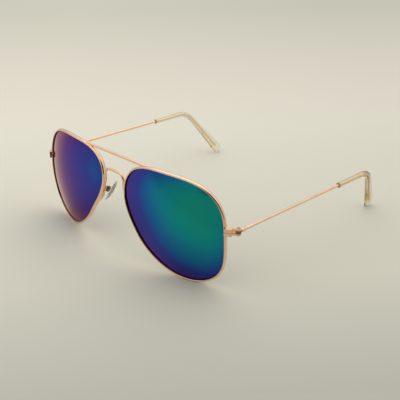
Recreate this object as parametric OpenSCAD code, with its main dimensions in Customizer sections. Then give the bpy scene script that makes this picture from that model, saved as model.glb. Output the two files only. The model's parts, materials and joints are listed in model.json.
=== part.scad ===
// Aviator sunglasses, standing open on a table on their two rims and two ear tips.
// Millimetres. +Z is up, the lenses face -Y and the wearer's left is at +X.
// The origin is on the table, under the middle of the glasses' width and depth.

/* [Lenses] */
// Width of each lens, its hidden bevel included
lens_w = 58; // [54:1:62]
// Gap between the two lenses at the nose
lens_gap = 17; // [16:0.5:19]
// Radius of the curved front of a lens
lens_curve_r = 89; // [80:1:110]
// Thickness of a lens
lens_t = 1.5; // [1.3:0.1:1.8]
// Turn of each lens back towards its temple, in degrees
wrap_angle = 10; // [8:0.5:12]
// Lean of the front as it stands, bottom edge back, in degrees
lean_angle = 0.6; // [0:0.2:1.6]

/* [Rims] */
// Width of the rim wire, seen from the front
rim_w = 1.2; // [1:0.1:1.5]
// Height of the rim's lip in front of the lens
rim_lip = 0.8; // [0.6:0.05:0.9]
// Depth of the groove that holds the lens
groove_depth = 0.5; // [0.4:0.05:0.6]

/* [Bar and bridge] */
// Diameter of the top bar and of the bridge wire
bar_d = 1.4; // [1.2:0.1:1.6]
// Height of the bridge's crest above the lens centres
bridge_rise = 17.7; // [16:0.1:19]

/* [Hinges] */
// Height of the end piece and of the whole hinge
hinge_h = 3.5; // [3.3:0.1:4.2]
// Diameter of the hinge knuckles
knuckle_d = 2.5; // [2.3:0.1:2.6]

/* [Temples] */
// Length of a temple along its wire, from the hinge to the end of the ear tip
temple_len = 138; // [130:1:145]
// Diameter of the temple wire
temple_d = 1.5; // [1.4:0.1:1.6]
// Downward bend behind the ear, in degrees
ear_bend = 55; // [45:1:60]
// Turn of the ear bend towards the head, in degrees
ear_turn = 19; // [10:1:24]
// Width of the flat end of an ear tip
ear_tip_w = 7.5; // [6:0.1:8.5]

/* [Nose pads] */
// Length of a nose pad
pad_len = 11; // [10:0.5:13]
// Width of a nose pad
pad_w = 6.5; // [5.5:0.5:7.5]

/* [Hidden] */
$fn = 72;

left = 1;
right = -1;
gold = "#dcab82";
screw_gold = "#b98d63";
mirror_coat = "#1d6f78";
clear_plastic = "#ddd3b0";
clear_silicone = "#d2d2cc";

// Gaps: parts that stay together, running fits, and the bore of a screw in its own thread
seat_gap = 0.05;
running_gap = 0.05;
thread_gap = 0.02;

// How far a cutter reaches past what it cuts
overcut = 1;

// Collar of braze at each end of a bend: half its length, how far it stands out, and the gap it fills
collar_half_len = 0.15;
collar_swell = 0.015;
collar_gap = 0.02;

// Radius of the lens opening every 30 degrees, from the temple side over the top, for a 58 mm lens
opening_radii = [28.5, 29.8, 27.4, 25.3, 28.6, 31.8, 25.1, 20.8, 20.6, 23.7, 28.5, 30.4];
drawn_lens_w = 58;

// Steps round a rim, and the height angle at which the rim is split for the lens to go in
ring_steps = 72;
split_angle = 10.5;
split_half_gap = 0.3;

// Half the step between two points when a direction is read off a curve
probe = 0.05;

function unit(v) = v / norm(v);
function total(v) = v * [for (x = v) 1];
function mirrored(p) = [-p.x, p.y, p.z];
function turn_x(p, a) = [p.x, p.y * cos(a) - p.z * sin(a), p.y * sin(a) + p.z * cos(a)];
function turn_y(p, a) = [p.x * cos(a) + p.z * sin(a), p.y, p.z * cos(a) - p.x * sin(a)];
function turn_z(p, a) = [p.x * cos(a) - p.y * sin(a), p.x * sin(a) + p.y * cos(a), p.z];

// The opening's outline is the smoothest closed curve through those radii: a sum of whole waves
waves = len(opening_radii) / 2;
mean_r = total(opening_radii) / len(opening_radii);
function wave_share(k) = (k == waves ? 1 : 2) / len(opening_radii);
function wave_angle(k, i) = 360 * k * i / len(opening_radii);
function cosines(k) = [for (i = [0:len(opening_radii) - 1]) cos(wave_angle(k, i))];
function sines(k) = [for (i = [0:len(opening_radii) - 1]) sin(wave_angle(k, i))];
cos_waves = [for (k = [1:waves]) wave_share(k) * opening_radii * cosines(k)];
sin_waves = [for (k = [1:waves]) wave_share(k) * opening_radii * sines(k)];
function wave_r(k, angle) = cos_waves[k - 1] * cos(k * angle) + sin_waves[k - 1] * sin(k * angle);
function drawn_r(angle) = mean_r + total([for (k = [1:waves]) wave_r(k, angle)]);

// A point of the opening's edge, seen along the lens's axis, and its direction outwards
function opening_point(angle) = drawn_r(angle) * lens_w / drawn_lens_w * [cos(angle), sin(angle)];
function opening_side(angle) =
  let (along = opening_point(angle + probe) - opening_point(angle - probe)) unit([along.y, -along.x]);
function beside_opening(angle, offset) = opening_point(angle) + offset * opening_side(angle);

// The lens's own frame: x towards the temple, y back along its axis, z up, with the front at depth 0
function on_lens(p, depth) =
  let (sag = lens_curve_r - sqrt(pow(lens_curve_r, 2) - p * p))
  [p.x, sag, p.y] + depth / lens_curve_r * [-p.x, lens_curve_r - sag, -p.y];

// From the lens's frame to the glasses' frame, which has its origin between the lens centres
lens_centre_x = (lens_w + lens_gap) / 2;
function from_lens(p) = [lens_centre_x, 0, 0] + turn_z(turn_x(p, lean_angle), wrap_angle);
function rim_place(angle, offset, depth) = from_lens(on_lens(beside_opening(angle, offset), depth));

// Rim section: offset from the opening's edge and depth behind the lens's front
rim_heel = 0.25;
rim_back = lens_t + rim_heel;
rim_middle = (rim_back - rim_lip) / 2;
rim_edge = 0.2;
rim_roundness = 0.85;
function bulge(x) = sign(x) * pow(abs(x), rim_roundness);
rim_section = concat(
  [[0, -rim_lip + rim_edge]],
  [for (a = [90:-30:-90]) [
    rim_edge + (rim_w - rim_edge) * bulge(cos(a)),
    rim_middle - (rim_back + rim_lip) / 2 * bulge(sin(a))
  ]],
  [[0, rim_back - rim_edge], [0, lens_t], [groove_depth, lens_t / 2], [0, 0]]
);
function rim_angle(i) = split_angle
  + (i == 0 ? split_half_gap : i == ring_steps ? 360 - split_half_gap : 360 * i / ring_steps);
rim_rings = [for (i = [0:ring_steps])
  [for (p = rim_section) on_lens(beside_opening(rim_angle(i), p.x), p.y)]];

// Lens: rings from the middle of the front over the bevelled edge to the middle of the back
lens_shares = [0.12, 0.36, 0.6, 0.82, 1];
bevel_reach = groove_depth - seat_gap;
lens_loops = concat(
  [for (share = lens_shares) [share, -seat_gap, 0]],
  [[1, bevel_reach, lens_t / 2]],
  [for (i = [len(lens_shares) - 1:-1:0]) [lens_shares[i], -seat_gap, lens_t]]
);
lens_rings = [for (loop = lens_loops)
  [for (i = [0:ring_steps - 1])
    on_lens(loop[0] * beside_opening(split_angle + 360 * i / ring_steps, loop[1]), loop[2])]];

// End piece: its frame starts on the rim's outer side, x runs outwards along the lens and y back
end_root = rim_place(split_angle, rim_w, 0);
end_slope = wrap_angle + asin(beside_opening(split_angle, rim_w).x / lens_curve_r);
end_solder = 0.25;
end_front = -1.8;
end_back = 0.9;
cover_solder = 0.1;
cover_inset = 0.15;
block_len = 2.1;
block_gap = 0.05;
leaf_t = 0.5;
leaf_back = 0.85;

// Hinge: the axis stands clear of the leaf, and the middle knuckle turns between the other two
hinge_x = 5.1;
hinge_y = 0.9;
knuckle_r = knuckle_d / 2;
web_inset = 0.1;
middle_half_h = 0.65;
// Stop: a lug of the middle knuckle that faces the leaf when the temple is open
stop_gap = 0.2;
stop_reach = hinge_x - block_len - leaf_t - stop_gap;
stop_front = -1;
stop_back = 0.5;
knuckle_gap = 0.1;
hinge_screw_r = 0.5;
hinge_head_r = 0.85;
hinge_head_h = 0.35;
head_gap = 0.03;
slot_w = 0.28;
slot_depth = 0.18;
hinge_point = end_root + turn_z([hinge_x, hinge_y, 0], end_slope);

// Screw that closes the rim on its lens, driven from below
rim_screw_x = 1;
rim_screw_y = -0.05;
rim_screw_r = 0.4;
rim_head_r = 0.6;
rim_head_h = 0.45;
rim_screw_cover = 0.35;
rim_screw_top = hinge_h / 2 - rim_screw_cover;

// Temple: its frame starts on the hinge axis and y runs back along the wire, turned a little inwards
temple_toe = 0.45;
neck_w = 1.4;
neck_len = 1.7;
socket_r = 0.92;
socket_len = 2.6;
socket_floor = 0.2;
wire_r = temple_d / 2;
wire_start = neck_len + socket_floor;
core_r = 0.6;
bend_r = 13;
tip_mouth = 75.5;
mouth_depth = 1.2;
core_short = 5;
core_root = 1;
drawn_temple_len = 138;
drawn_corner = 102.5;
bend_corner = drawn_corner * temple_len / drawn_temple_len;
bend_start = bend_corner - bend_r * tan(ear_bend / 2);
bend_len = bend_r * ear_bend * PI / 180;
down_way = [-sin(ear_turn), 0, -cos(ear_turn)];
function ear_angle(s) = min(max((s - bend_start) / bend_len, 0), 1) * ear_bend;
function ear_heading(angle) = [0, cos(angle), 0] + sin(angle) * down_way;
function ear_inside(angle) = [0, -sin(angle), 0] + cos(angle) * down_way;
function ear_point(s) =
  let (angle = ear_angle(s), past = max(s - bend_start - bend_len, 0))
  [0, min(s, bend_start) + bend_r * sin(angle), 0]
    + bend_r * (1 - cos(angle)) * down_way + past * ear_heading(angle);

// Ear tip: a round sleeve at its mouth that flattens to a wide rounded end
tip_mouth_r = 1.38;
tip_thin = 0.15;
tip_flare = 2.4;
tip_round = 2.6;
tip_end_w = 1.7;
tip_end_t = 0.3;
tip_mouth_bevel = 0.25;
tip_sides = 16;
sleeve_steps = 3;
bend_steps = 9;
paddle_steps = 5;
end_step_angles = [30, 55, 75, 86];
function tip_share(s) = (s - tip_mouth) / (temple_len - tip_mouth);
function tip_ending(s) = sqrt(max(1 - pow(max(s - temple_len + tip_round, 0) / tip_round, 2), 0));
function tip_half_w(s) = tip_mouth_r + (ear_tip_w / 2 - tip_mouth_r) * pow(tip_share(s), tip_flare)
  - (ear_tip_w - tip_end_w) / 2 * (1 - tip_ending(s));
function tip_half_t(s) = (tip_mouth_r - tip_thin * tip_share(s))
  * (tip_end_t + (1 - tip_end_t) * tip_ending(s));
function tip_ring(s, shrink) = [for (i = [0:tip_sides - 1])
  let (a = 360 * i / tip_sides, angle = ear_angle(s))
  ear_point(s) + (tip_half_w(s) - shrink) * cos(a) * ear_inside(angle)
    + (tip_half_t(s) - shrink) * sin(a) * cross([0, 1, 0], down_way)];
sleeve_start = tip_mouth + tip_mouth_bevel;
bend_end = bend_start + bend_len;
round_start = temple_len - tip_round;
tip_stations = concat(
  [for (i = [0:sleeve_steps - 1]) sleeve_start + (bend_start - sleeve_start) * i / sleeve_steps],
  [for (i = [0:bend_steps]) bend_start + bend_len * i / bend_steps],
  [for (i = [1:paddle_steps]) bend_end + (round_start - bend_end) * i / paddle_steps],
  [for (a = end_step_angles) round_start + tip_round * sin(a)]
);
tip_rings = concat([tip_ring(tip_mouth, tip_mouth_bevel)], [for (s = tip_stations) tip_ring(s, 0)]);

// The glasses stand on the rims' lowest points, and the temples droop until the ear tips touch down
rim_points = [for (ring = rim_rings) each [for (p = ring) from_lens(p)]];
floor_z = min([for (p = rim_points) p.z]);
tip_points = [for (ring = tip_rings) each ring];
tip_low_z = min([for (p = tip_points) p.z]);
tip_low_y = [for (p = tip_points) if (p.z == tip_low_z) p.y][0];
droop = asin((hinge_point.z + tip_low_z - floor_z) / tip_low_y);
function from_temple(p) = hinge_point + turn_z(turn_x(p, -droop), temple_toe);
front_y = min([for (p = rim_points) p.y]);
rear_y = max([for (p = tip_points) from_temple(p).y]);
middle_y = (front_y + rear_y) / 2;

// Top bar and bridge: straight across from rim to rim, and an arch whose legs run down the rims
bar_angle = 122;
bar_offset = 1.15;
bar_depth = 0.1;
bar_end = rim_place(bar_angle, bar_offset, bar_depth);
bridge_foot_angle = 161;
bridge_solder = 0.25;
bridge_bend_r = 3.6;
bridge_side = rim_place(bridge_foot_angle, rim_w + bar_d / 2 - bridge_solder, rim_middle / 2);

// Nose pads: a place in the glasses' frame for the wearer's left, and an optician's three pad angles
pad_centre = [8.2, 5, 3];
pad_splay = 38;
pad_frontal = 20;
pad_vertical = 16;
pad_t = 1.6;
pad_dome_r = 17;
pad_taper = 0.12;
pad_sides = 40;
core_plate_len = 6;
core_plate_w = 3;
core_plate_t = 0.5;
core_plate_x = -0.6;
lug_w = 1.1;
lug_r = 0.65;
pad_axis_x = -1.85;
box_gap = 0.15;
box_wall = 0.4;
box_len = 2.6;
box_floor_x = -2.65;
box_mouth_x = -1.25;
box_half_w = lug_w / 2 + box_gap + box_wall;
pad_screw_r = 0.4;
pad_head_r = 0.65;
pad_head_h = 0.3;
arm_r = 0.45;
arm_sides = 12;
arm_steps = 6;
arm_foot_angle = 183.5;
arm_foot_offset = 0.7;
arm_solder = 0.15;
arm_lap_x = box_floor_x - box_wall - arm_r + arm_solder;
arm_lap_top = 0.6;
arm_lap_end = -1;
function from_pad(p) = pad_centre
  + turn_x(turn_z(turn_y(mirrored(p), -pad_frontal), -pad_splay), -pad_vertical);

// The pad arm's curve runs through points from the rim's back over a loop to the back of the pad box
arm_points = [
  rim_place(arm_foot_angle, arm_foot_offset, rim_back + arm_r - arm_solder),
  [11.3, 1.8, 0.4],
  [10.2, 2, 3.2],
  [9.75, 2.45, 5],
  [9.95, 3.1, 5.85],
  from_pad([arm_lap_x, 0, arm_lap_top]),
  from_pad([arm_lap_x, 0, arm_lap_end])
];
function arm_knot(i) = arm_points[min(max(i, 0), len(arm_points) - 1)];
function arm_curve(i, t) =
  let (a = arm_knot(i - 1), b = arm_knot(i), c = arm_knot(i + 1), d = arm_knot(i + 2))
  b + t / 2 * (c - a + t * (2 * a - 5 * b + 4 * c - d + t * (3 * (b - c) + d - a)));
arm_line = concat(
  [for (i = [0:len(arm_points) - 2], j = [0:arm_steps - 1]) arm_curve(i, j / arm_steps)],
  [arm_points[len(arm_points) - 1]]
);
function arm_ring(i) =
  let (
    along = unit(arm_line[min(i + 1, len(arm_line) - 1)] - arm_line[max(i - 1, 0)]),
    across = unit(cross(along, [1, 0, 0])),
    aside = cross(along, across)
  )
  [for (k = [0:arm_sides - 1])
    let (a = 360 * k / arm_sides) arm_line[i] + arm_r * (cos(a) * across + sin(a) * aside)];

// Sets what is drawn for the wearer's left on the table, on either side
module on_side(side) {
  translate([0, -middle_y, -floor_z])
    if (side == left) children();
    else mirror([1, 0, 0]) children();
}

module in_lens_frame() {
  translate([lens_centre_x, 0, 0]) rotate([lean_angle, 0, wrap_angle]) children();
}

module in_end_frame() {
  translate(end_root) rotate([0, 0, end_slope]) children();
}

module in_temple_frame() {
  translate(hinge_point) rotate([-droop, 0, temple_toe]) children();
}

// The pad's frame: x towards the nose, y back across the pad, z up along it
module in_pad_frame() {
  translate(pad_centre)
    rotate([-pad_vertical, 0, 0]) rotate([0, 0, -pad_splay]) rotate([0, -pad_frontal, 0])
      mirror([1, 0, 0]) children();
}

// A closed skin over rings of points that all have as many points
module skin(rings) {
  sides = len(rings[0]);
  last = len(rings) - 1;
  polyhedron(
    points = [for (ring = rings) each ring],
    faces = concat(
      [[for (j = [0:sides - 1]) j]],
      [for (i = [0:last - 1], j = [0:sides - 1])
        each let (k = (j + 1) % sides, a = i * sides, b = a + sides)
          [[a + k, a + j, b + j], [a + k, b + j, b + k]]],
      [[for (j = [sides - 1:-1:0]) last * sides + j]]
    )
  );
}

function axes_at(origin, x, y, z) = [
  [x[0], y[0], z[0], origin[0]],
  [x[1], y[1], z[1], origin[1]],
  [x[2], y[2], z[2], origin[2]],
  [0, 0, 0, 1]
];

// A straight round wire from one point to another
module rod(from, to, r) {
  along = unit(to - from);
  upright = abs(along.z) > cos(45);
  across = unit(cross(along, upright ? [1, 0, 0] : [0, 0, 1]));
  multmatrix(axes_at(from, across, cross(along, across), along)) cylinder(h = norm(to - from), r = r);
}

// The rounded corner of a wire that comes in along one unit vector and leaves along another
module elbow(corner, way_in, way_out, turn_r, r) {
  turn = acos(way_in * way_out);
  inward = unit(way_out - way_in * (way_in * way_out));
  centre = corner - way_in * turn_r * tan(turn / 2) + inward * turn_r;
  multmatrix(axes_at(centre, -inward, way_in, cross(way_in, inward)))
    rotate_extrude(angle = turn) translate([turn_r, 0]) circle(r);
}

module collar(at, way, r) {
  rod(at - way * collar_half_len, at + way * collar_half_len, r + collar_swell);
}

// A round wire through points, with every corner bent to one radius and a collar at each end of a bend
module bent_wire(points, turn_r, r) {
  last = len(points) - 1;
  ways = [for (i = [0:last - 1]) unit(points[i + 1] - points[i])];
  bends = [for (i = [0:last]) i == 0 || i == last ? 0 : turn_r * tan(acos(ways[i - 1] * ways[i]) / 2)];
  cuts = [for (bend = bends) bend == 0 ? 0 : bend + collar_gap];
  for (i = [0:last - 1])
    rod(points[i] + ways[i] * cuts[i], points[i + 1] - ways[i] * cuts[i + 1], r);
  for (i = [1:last - 1]) {
    elbow(points[i], ways[i - 1], ways[i], turn_r, r);
    collar(points[i] - ways[i - 1] * bends[i], ways[i - 1], r);
    collar(points[i] + ways[i] * bends[i], ways[i], r);
  }
}

// A box given by its two far corners
module block(low, high) {
  translate(low) cube(high - low);
}

// A slotted screw, pointing down, with the top of its head at z = 0
module slotted_screw(shank_r, head_r, head_h, length) {
  difference() {
    union() {
      translate([0, 0, -length]) cylinder(h = length, r = shank_r);
      translate([0, 0, -head_h]) cylinder(h = head_h, r = head_r);
    }
    block([-slot_w / 2, -head_r - overcut, -slot_depth], [slot_w / 2, head_r + overcut, overcut]);
  }
}

module rim(side) {
  color(gold) on_side(side) in_lens_frame() skin(rim_rings);
}

module lens(side) {
  color(mirror_coat) on_side(side) in_lens_frame() skin(lens_rings);
}

module top_bar() {
  color(gold) on_side(left) rod(mirrored(bar_end), bar_end, bar_d / 2);
}

module bridge() {
  shoulder = [bridge_side.x, bridge_side.y, bridge_rise];
  points = [bridge_side, shoulder, mirrored(shoulder), mirrored(bridge_side)];
  color(gold) on_side(left) bent_wire(points, bridge_bend_r, bar_d / 2);
}

// A half of the end piece from one height to another: a block beside the rim and a cover over its front
module end_block(low, high, length) {
  block([-end_solder, end_front, low], [length, end_back, high]);
  block([cover_inset - rim_w, end_front, low], [0, cover_solder - rim_lip, high]);
}

// Upper half of the end piece, soldered to the rim above its split and threaded for the closing screw
module end_piece(side) {
  color(gold) on_side(side) in_end_frame() difference() {
    end_block(block_gap, hinge_h / 2, block_len);
    translate([rim_screw_x, rim_screw_y, 0]) cylinder(h = rim_screw_top, r = rim_screw_r + thread_gap);
  }
}

// Lower half, soldered to the rim below its split and drawn up by the closing screw
module closing_block(side) {
  color(gold) on_side(side) in_end_frame() difference() {
    end_block(-hinge_h / 2, -block_gap, block_len - block_gap);
    translate([rim_screw_x, rim_screw_y, -hinge_h / 2 - overcut]) {
      cylinder(h = hinge_h, r = rim_screw_r + seat_gap);
      cylinder(h = overcut + rim_head_h, r = rim_head_r + seat_gap);
    }
  }
}

module rim_screw(side) {
  length = hinge_h / 2 + rim_screw_top - knuckle_gap;
  color(screw_gold) on_side(side) in_end_frame() translate([rim_screw_x, rim_screw_y, -hinge_h / 2])
    mirror([0, 0, 1]) slotted_screw(rim_screw_r, rim_head_r, rim_head_h, length);
}

// Leaf and two outer knuckles, soldered to the end of the upper half
module front_hinge(side) {
  outer_low = middle_half_h + knuckle_gap;
  outer_h = hinge_h / 2 - outer_low;
  color(gold) on_side(side) in_end_frame() difference() {
    union() {
      block([block_len, end_front, -hinge_h / 2], [block_len + leaf_t, leaf_back, hinge_h / 2]);
      for (low = [-hinge_h / 2, outer_low]) {
        translate([hinge_x, hinge_y, low]) cylinder(h = outer_h, r = knuckle_r);
        block([block_len, hinge_y - knuckle_r + web_inset, low], [hinge_x, leaf_back, low + outer_h]);
      }
    }
    translate([hinge_x, hinge_y, -hinge_h]) cylinder(h = 2 * hinge_h, r = hinge_screw_r + thread_gap);
    translate([hinge_x, hinge_y, hinge_h / 2 - hinge_head_h - head_gap])
      cylinder(h = overcut, r = hinge_head_r + head_gap);
  }
}

module hinge_screw(side) {
  color(screw_gold) on_side(side) in_end_frame() translate([hinge_x, hinge_y, hinge_h / 2])
    slotted_screw(hinge_screw_r, hinge_head_r, hinge_head_h, hinge_h);
}

// Middle knuckle with its stop, neck and the socket that the temple wire is brazed into
module temple_hinge(side) {
  color(gold) on_side(side) translate(hinge_point) rotate([0, 0, temple_toe]) difference() {
    union() {
      translate([0, 0, -middle_half_h]) cylinder(h = 2 * middle_half_h, r = knuckle_r);
      block([-neck_w / 2, 0, -middle_half_h], [neck_w / 2, neck_len + socket_floor, middle_half_h]);
      rotate([0, 0, end_slope - temple_toe])
        block([-stop_reach, stop_front, -middle_half_h], [0, stop_back, middle_half_h]);
      rotate([-droop, 0, 0]) rod([0, neck_len, 0], [0, neck_len + socket_len, 0], socket_r);
    }
    translate([0, 0, -hinge_h]) cylinder(h = 2 * hinge_h, r = hinge_screw_r + running_gap);
    rotate([-droop, 0, 0])
      rod([0, wire_start, 0], [0, neck_len + socket_len + overcut, 0], wire_r + thread_gap);
  }
}

// Temple wire: full size to just inside the ear tip, then a thinner core that bends down behind the ear
module temple(side) {
  step = tip_mouth + mouth_depth;
  corner = [0, bend_corner, 0];
  end = ear_point(temple_len - core_short);
  color(gold) on_side(side) in_temple_frame() {
    rod([0, wire_start + thread_gap, 0], [0, step, 0], wire_r);
    bent_wire([[0, step - core_root, 0], corner, end], bend_r, core_r);
  }
}

// Clear sleeve pushed over the core, with a blind channel of the core's own bend
module ear_tip(side) {
  step = tip_mouth + mouth_depth + seat_gap;
  end = ear_point(temple_len - core_short + 2 * seat_gap);
  color(clear_plastic) on_side(side) in_temple_frame() difference() {
    skin(tip_rings);
    rod([0, tip_mouth - overcut, 0], [0, step, 0], wire_r + seat_gap);
    bent_wire([[0, step - core_root, 0], [0, bend_corner, 0], end], bend_r, core_r + seat_gap);
  }
}

// Bent wire from the back of the rim up and over to the back of the pad box
module pad_arm(side) {
  color(gold) on_side(side) skin([for (i = [0:len(arm_line) - 1]) arm_ring(i)]);
}

// Small channel open towards the pad, drilled across for the pad screw
module pad_box(side) {
  slot_half_w = box_half_w - box_wall;
  color(gold) on_side(side) in_pad_frame() difference() {
    block([box_floor_x - box_wall, -box_half_w, -box_len / 2], [box_mouth_x, box_half_w, box_len / 2]);
    block([box_floor_x, -slot_half_w, -box_len], [box_mouth_x + overcut, slot_half_w, box_len]);
    across_pad(4 * box_half_w, pad_screw_r + thread_gap);
  }
}

module pad_screw(side) {
  length = 2 * box_half_w + pad_head_h;
  color(screw_gold) on_side(side) in_pad_frame() translate([pad_axis_x, box_half_w + pad_head_h, 0])
    rotate([-90, 0, 0]) slotted_screw(pad_screw_r, pad_head_r, pad_head_h, length);
}

// A round bar on the axis that the pad rocks about
module across_pad(length, r) {
  translate([pad_axis_x, 0, 0]) rotate([90, 0, 0]) cylinder(h = length, r = r, center = true);
}

// The pad's hard insert: a plate inside the silicone and the lug that the screw goes through
module pad_core_shape(grow) {
  block([core_plate_x - grow, -core_plate_w / 2 - grow, -core_plate_len / 2 - grow],
    [core_plate_x + core_plate_t + grow, core_plate_w / 2 + grow, core_plate_len / 2 + grow]);
  block([pad_axis_x, -lug_w / 2 - grow, -lug_r - grow], [core_plate_x, lug_w / 2 + grow, lug_r + grow]);
}

module pad_core(side) {
  color(clear_plastic) on_side(side) in_pad_frame() difference() {
    union() {
      pad_core_shape(0);
      across_pad(lug_w, lug_r);
    }
    across_pad(2 * lug_w, pad_screw_r + running_gap);
  }
}

// Soft oval pad, domed towards the nose and a little narrower at the top
module nose_pad(side) {
  outline = [for (i = [0:pad_sides - 1])
    let (a = 360 * i / pad_sides) [-pad_len / 2 * sin(a), pad_w / 2 * cos(a) * (1 - pad_taper * sin(a))]];
  color(clear_silicone) on_side(side) in_pad_frame() difference() {
    intersection() {
      translate([-pad_t / 2, 0, 0]) rotate([0, 90, 0]) linear_extrude(pad_t) polygon(outline);
      translate([pad_t / 2 - pad_dome_r, 0, 0]) sphere(pad_dome_r, $fn = 180);
    }
    pad_core_shape(seat_gap);
  }
}

rim(left);  // rim_left
rim(right);  // rim_right
lens(left);  // lens_left
lens(right);  // lens_right
top_bar();
bridge();
pad_arm(left);  // pad_arm_left
pad_arm(right);  // pad_arm_right
pad_box(left);  // pad_box_left
pad_box(right);  // pad_box_right
pad_screw(left);  // pad_screw_left
pad_screw(right);  // pad_screw_right
pad_core(left);  // pad_core_left
pad_core(right);  // pad_core_right
nose_pad(left);  // nose_pad_left
nose_pad(right);  // nose_pad_right
end_piece(left);  // end_piece_left
end_piece(right);  // end_piece_right
closing_block(left);  // closing_block_left
closing_block(right);  // closing_block_right
rim_screw(left);  // rim_screw_left
rim_screw(right);  // rim_screw_right
front_hinge(left);  // front_hinge_left
front_hinge(right);  // front_hinge_right
hinge_screw(left);  // hinge_screw_left
hinge_screw(right);  // hinge_screw_right
temple_hinge(left);  // temple_hinge_left
temple_hinge(right);  // temple_hinge_right
temple(left);  // temple_left
temple(right);  // temple_right
ear_tip(left);  // ear_tip_left
ear_tip(right);  // ear_tip_right
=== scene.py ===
"""Looks of a pair of aviator sunglasses: rose-gold wire, mirrored lenses, clear ear tips and nose pads."""

import json
import math

import bmesh
import bpy
import numpy as np
from mathutils import Matrix, Vector


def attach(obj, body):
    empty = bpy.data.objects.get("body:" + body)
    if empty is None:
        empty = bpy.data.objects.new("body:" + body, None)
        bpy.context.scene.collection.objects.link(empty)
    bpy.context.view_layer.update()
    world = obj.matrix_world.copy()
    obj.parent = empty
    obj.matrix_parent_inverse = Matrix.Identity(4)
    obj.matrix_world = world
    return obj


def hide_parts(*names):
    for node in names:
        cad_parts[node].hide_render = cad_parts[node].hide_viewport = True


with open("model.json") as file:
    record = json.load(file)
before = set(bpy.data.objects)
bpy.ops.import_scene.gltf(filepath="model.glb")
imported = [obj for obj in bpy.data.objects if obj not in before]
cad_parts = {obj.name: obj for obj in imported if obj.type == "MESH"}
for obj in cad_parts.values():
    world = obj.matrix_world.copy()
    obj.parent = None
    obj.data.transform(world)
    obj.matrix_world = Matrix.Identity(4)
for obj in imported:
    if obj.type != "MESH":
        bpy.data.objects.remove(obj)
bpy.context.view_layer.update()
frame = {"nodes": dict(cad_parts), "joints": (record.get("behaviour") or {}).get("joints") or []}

LEFT = 1
RIGHT = -1
SIDES = {"left": LEFT, "right": RIGHT}
MM = 0.001

# Lenses and rims, in millimetres, as the solids have them
LENS_GAP = 17.0
LENS_W = 58.0
LENS_CENTRE_X = (LENS_W + LENS_GAP) / 2
LENS_CURVE_R = 89.0
LENS_T = 1.5
WRAP = math.radians(10)
LEAN = math.radians(0.6)
OPENING_RADII = (28.5, 29.8, 27.4, 25.3, 28.6, 31.8, 25.1, 20.8, 20.6, 23.7, 28.5, 30.4)
SEAT_GAP = 0.05
RIM_W = 1.2
RIM_LIP = 0.8
RIM_HEEL = 0.25
RIM_BACK = LENS_T + RIM_HEEL
RIM_MIDDLE = (RIM_BACK - RIM_LIP) / 2
RIM_EDGE = 0.2
RIM_ROUNDNESS = 0.85
GROOVE_DEPTH = 0.5
SPLIT = math.radians(10.5)
SPLIT_HALF_GAP = math.radians(0.3)

# Top bar, bridge and pad arms, with the length, width and depth of the drops of braze on them
BAR_ANGLE = math.radians(122)
BAR_OFFSET = 1.15
BAR_DEPTH = 0.1
BAR_BRAZE = (2.0, 0.72, 0.74)
WIRE_R = 0.7
BRIDGE_RISE = 17.7
BRIDGE_FOOT_ANGLE = math.radians(161)
BRIDGE_SOLDER = 0.25
BRIDGE_OFFSET = RIM_W + WIRE_R - BRIDGE_SOLDER
BRIDGE_BEND_R = 3.6
ARM_R = 0.45
ARM_FOOT_ANGLE = math.radians(183.5)
ARM_FOOT_OFFSET = 0.7
ARM_SOLDER = 0.15
ARM_FOOT_DEPTH = RIM_BACK + ARM_R - ARM_SOLDER
ARM_BENDS = ([11.3, 1.8, 0.4], [10.2, 2.0, 3.2], [9.75, 2.45, 5.0], [9.95, 3.1, 5.85])
ARM_LAP_X = -3.35
ARM_LAP_TOP = 0.6
ARM_LAP_FOOT = -1
ARM_BRAZE = (1.1, 0.5, 0.55)

# The bridge's radius at its feet, as a share of the wire's, and the share that each step up the leg adds
BRIDGE_FOOT_SHARE = 0.55
BRIDGE_STEP_SHARE = 0.15

# Hinge axis, seen from the rim's outer side at its split
HINGE_X = 5.1
HINGE_Y = 0.9

# Painted shade: its reach round a hinge screw, and how squarely an end block's wall faces the lens to have
# it
HINGE_SHADE_FADES = 1.3
HINGE_SHADE_ENDS = 1.7
FACING_STARTS = 0.7
FACING_FULL = 0.8

# Temples and ear tips, by distance along the temple wire from the hinge
TEMPLE_TOE = math.radians(0.45)
TEMPLE_LEN = 138.0
TEMPLE_R = 0.75
TEMPLE_START = 1.92
TEMPLE_CORE_R = 0.6
CORE_START = 76.7
CORE_END = 133.0
WIRE_CHAMFER = 0.06
TIP_MOUTH = 75.5
TIP_MOUTH_R = 1.38
TIP_MOUTH_BEVEL = 0.25
TIP_W = 7.5
TIP_THIN = 0.15
TIP_FLARE = 2.4
TIP_ROUND = 2.6
TIP_END_W = 1.7
TIP_END_T = 0.3
EAR_BEND = math.radians(55)
EAR_TURN = math.radians(19)
BEND_R = 13.0
BEND_CORNER = 102.5
BEND_START = BEND_CORNER - BEND_R * math.tan(EAR_BEND / 2)
BEND_LEN = BEND_R * EAR_BEND
BEND_END = BEND_START + BEND_LEN
DOWN_WAY = np.array([-math.sin(EAR_TURN), 0, -math.cos(EAR_TURN)])

# Nose pads
PAD_CENTRE = np.array([8.2, 5.0, 3.0])
PAD_SPLAY = math.radians(38)
PAD_FRONTAL = math.radians(20)
PAD_VERTICAL = math.radians(16)
PAD_LEN = 11.0
PAD_W = 6.5
PAD_T = 1.6
PAD_DOME_R = 17.0
PAD_TAPER = 0.12
PAD_EDGE_ROUND = 0.1
PAD_MIDDLE_SHARE = 0.05

# Mirror coat: the radius of the lens's disc-shaped map, the colour's shift at the edge, and how uneven it is
DISC_R = 0.5
COAT_EDGE_POWER = 4.0
COAT_EDGE_SHIFT = 0.14
COAT_UNEVEN = 0.012

# Fine edges of the solids that stay
WELD_GAP = 0.002
SOFT_EDGE = 0.06
SOFT_EDGE_ANGLE = math.radians(40)

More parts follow.
